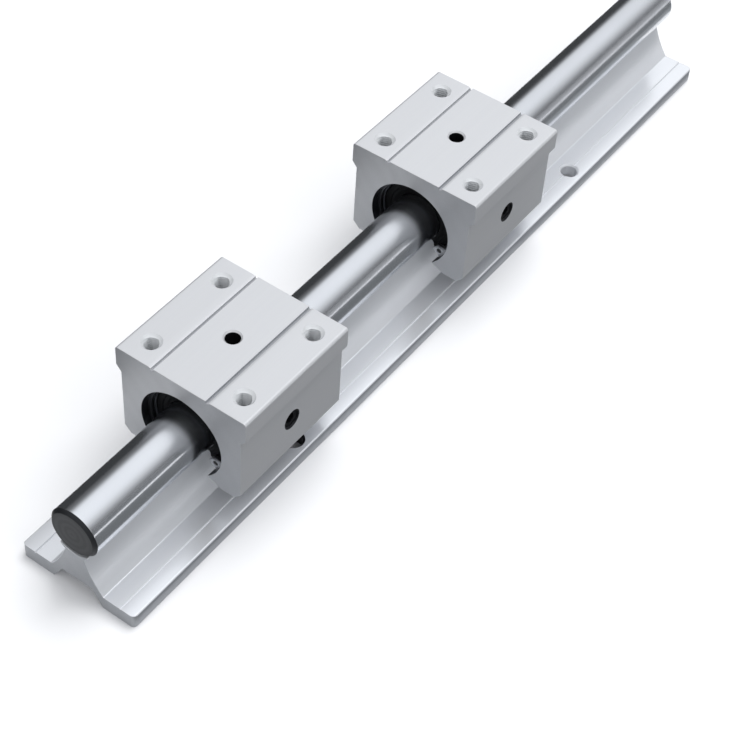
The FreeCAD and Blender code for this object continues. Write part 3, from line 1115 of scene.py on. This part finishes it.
def studio_world():
    """The strip on the ceiling, found by where each direction meets a ceiling one unit up."""
    world = bpy.data.worlds.new("studio")
    bpy.context.scene.world = world
    world.use_nodes = True
    tree = world.node_tree
    tree.nodes.clear()
    direction = add(tree, "ShaderNodeTexCoord").outputs["Generated"]
    parts = add(tree, "ShaderNodeSeparateXYZ", {"Vector": direction}).outputs
    height = add(tree, "ShaderNodeMath", {0: parts["Z"], 1: HORIZON}, operation="MAXIMUM").outputs[0]
    slanted = add(tree, "ShaderNodeMath", {
        0: parts["Y"], 1: SLANT, 2: parts["X"]}, operation="MULTIPLY_ADD").outputs[0]
    across = add(tree, "ShaderNodeMath", {0: slanted, 1: height}, operation="DIVIDE").outputs[0]
    ahead = add(tree, "ShaderNodeMath", {0: parts["Y"], 1: height}, operation="DIVIDE").outputs[0]
    strip = add(tree, "ShaderNodeMapRange", {
        "Value": across, "From Min": STRIP_MIDDLE - STRIP_HALF, "From Max": STRIP_MIDDLE + STRIP_HALF})
    run = add(tree, "ShaderNodeMapRange", {"Value": ahead, "From Min": -RUN_HALF, "From Max": RUN_HALF})
    strip_ramp = add(tree, "ShaderNodeValToRGB", {"Fac": strip.outputs["Result"]})
    set_stops(strip_ramp.color_ramp, STRIP_LEVELS)
    run_ramp = add(tree, "ShaderNodeValToRGB", {"Fac": run.outputs["Result"]})
    set_stops(run_ramp.color_ramp, RUN_LEVELS)
    light = add(tree, "ShaderNodeMix", {
        "Factor": 1.0, "A": strip_ramp.outputs["Color"], "B": run_ramp.outputs["Color"]},
        data_type="RGBA", blend_type="MULTIPLY")
    to_front = add(tree, "ShaderNodeMapRange", {"Value": ahead, "From Min": 0.0, "From Max": FRONT_REACH})
    whole = add(tree, "ShaderNodeMix", {
        "Factor": to_front.outputs["Result"], "A": light.outputs["Result"], "B": linear(FRONT_FILL)},
        data_type="RGBA")
    dome = add(tree, "ShaderNodeBackground", {"Color": whole.outputs["Result"], "Strength": DOME_STRENGTH})
    add(tree, "ShaderNodeOutputWorld", {"Surface": dome.outputs[0]})
    print("world:", world.name, "with", len(tree.nodes), "nodes")


studio_world()

# %% [markdown]
# ## Lamps and cards
#
# One large soft lamp above gives the part its soft shadow, and a small one on the right lifts the sides.
# Both are hidden from gloss, because the shaft would show them as hard squares. Four cards do the opposite:
# only reflections see them. A black one on the left and a grey one on the right give the shaft its dark
# stripes. The white floor left between the support and the grey card is the fine bright line low on the
# shaft. Further back a pale card lies beside that line, where the stripe turns paler. The fourth card, far
# to the right, keeps the white wall on that side out of the reflections.

# %% Soft lamps
def soft_lamp(name, at, towards, size, watts):
    """Square area lamp that lights surfaces but doesn't show in gloss."""
    data = bpy.data.lights.new(name, "AREA")
    data.shape = "RECTANGLE"
    data.size, data.size_y = size
    data.energy = watts
    lamp = bpy.data.objects.new(name, data)
    lamp.location = at
    lamp.rotation_euler = (Vector(towards) - Vector(at)).to_track_quat("-Z", "Y").to_euler()
    lamp.visible_glossy = False
    bpy.context.scene.collection.objects.link(lamp)
    print("lamp:", name, watts, "W")


soft_lamp("soft_top_lamp", at=(0.1, 0.76, 2.4), towards=(0, 0, 0.03), size=(1.5, 1.5), watts=31.0)
soft_lamp("soft_side_lamp", at=(0.9, 0.1, 0.45), towards=(0, 0, 0.02), size=(0.8, 0.8), watts=1.9)


# %% Cards that only reflections see
def card(name, rows, shine):
    """Card from rows of two (x, z) corners, each row at its own y, that glows a little."""
    mesh = bmesh.new()
    edges = [[mesh.verts.new((x, y, z)) for x, z in corners] for y, corners in rows]
    for near, far in zip(edges, edges[1:]):
        mesh.faces.new((near[0], near[1], far[1], far[0]))
    made = as_object(name, mesh)
    material, tree, shader = new_material(name)
    fill_inputs(tree, shader, {
        "Base Color": linear("0a0a0b"), "Roughness": 0.9, "Emission Color": (0.91, 0.96, 1.0, 1.0),
        "Emission Strength": shine})
    made.data.materials.append(material)
    made.visible_camera = False
    made.visible_shadow = False
    made.visible_diffuse = False
    print("card:", name, "with", len(made.data.polygons), "panels, strength", shine)


CARD_Z = 0.4
GREY_EDGE = ((-400, 21.4), (40, 21.4), (110, 46), (700, 46))  # (y, x) along the grey card's near edge
card("black_card", [(y, [(-42, CARD_Z), (-42, 50)]) for y in (-400, 700)], 0.05)
card("grey_card", [(y, [(x, CARD_Z), (270, CARD_Z)]) for y, x in GREY_EDGE], 0.19)
card("pale_card", [(y, [(20.8, CARD_Z), (x, CARD_Z)]) for y, x in GREY_EDGE[1:]], 0.35)
card("far_card", [(y, [(8500, 150), (8500, 2500)]) for y in (-5700, 5400)], 0.20)

# %% [markdown]
# ## Rendering
#
# The Standard view keeps a colour as it is written.

# %% View
bpy.context.scene.view_settings.view_transform = "Standard"
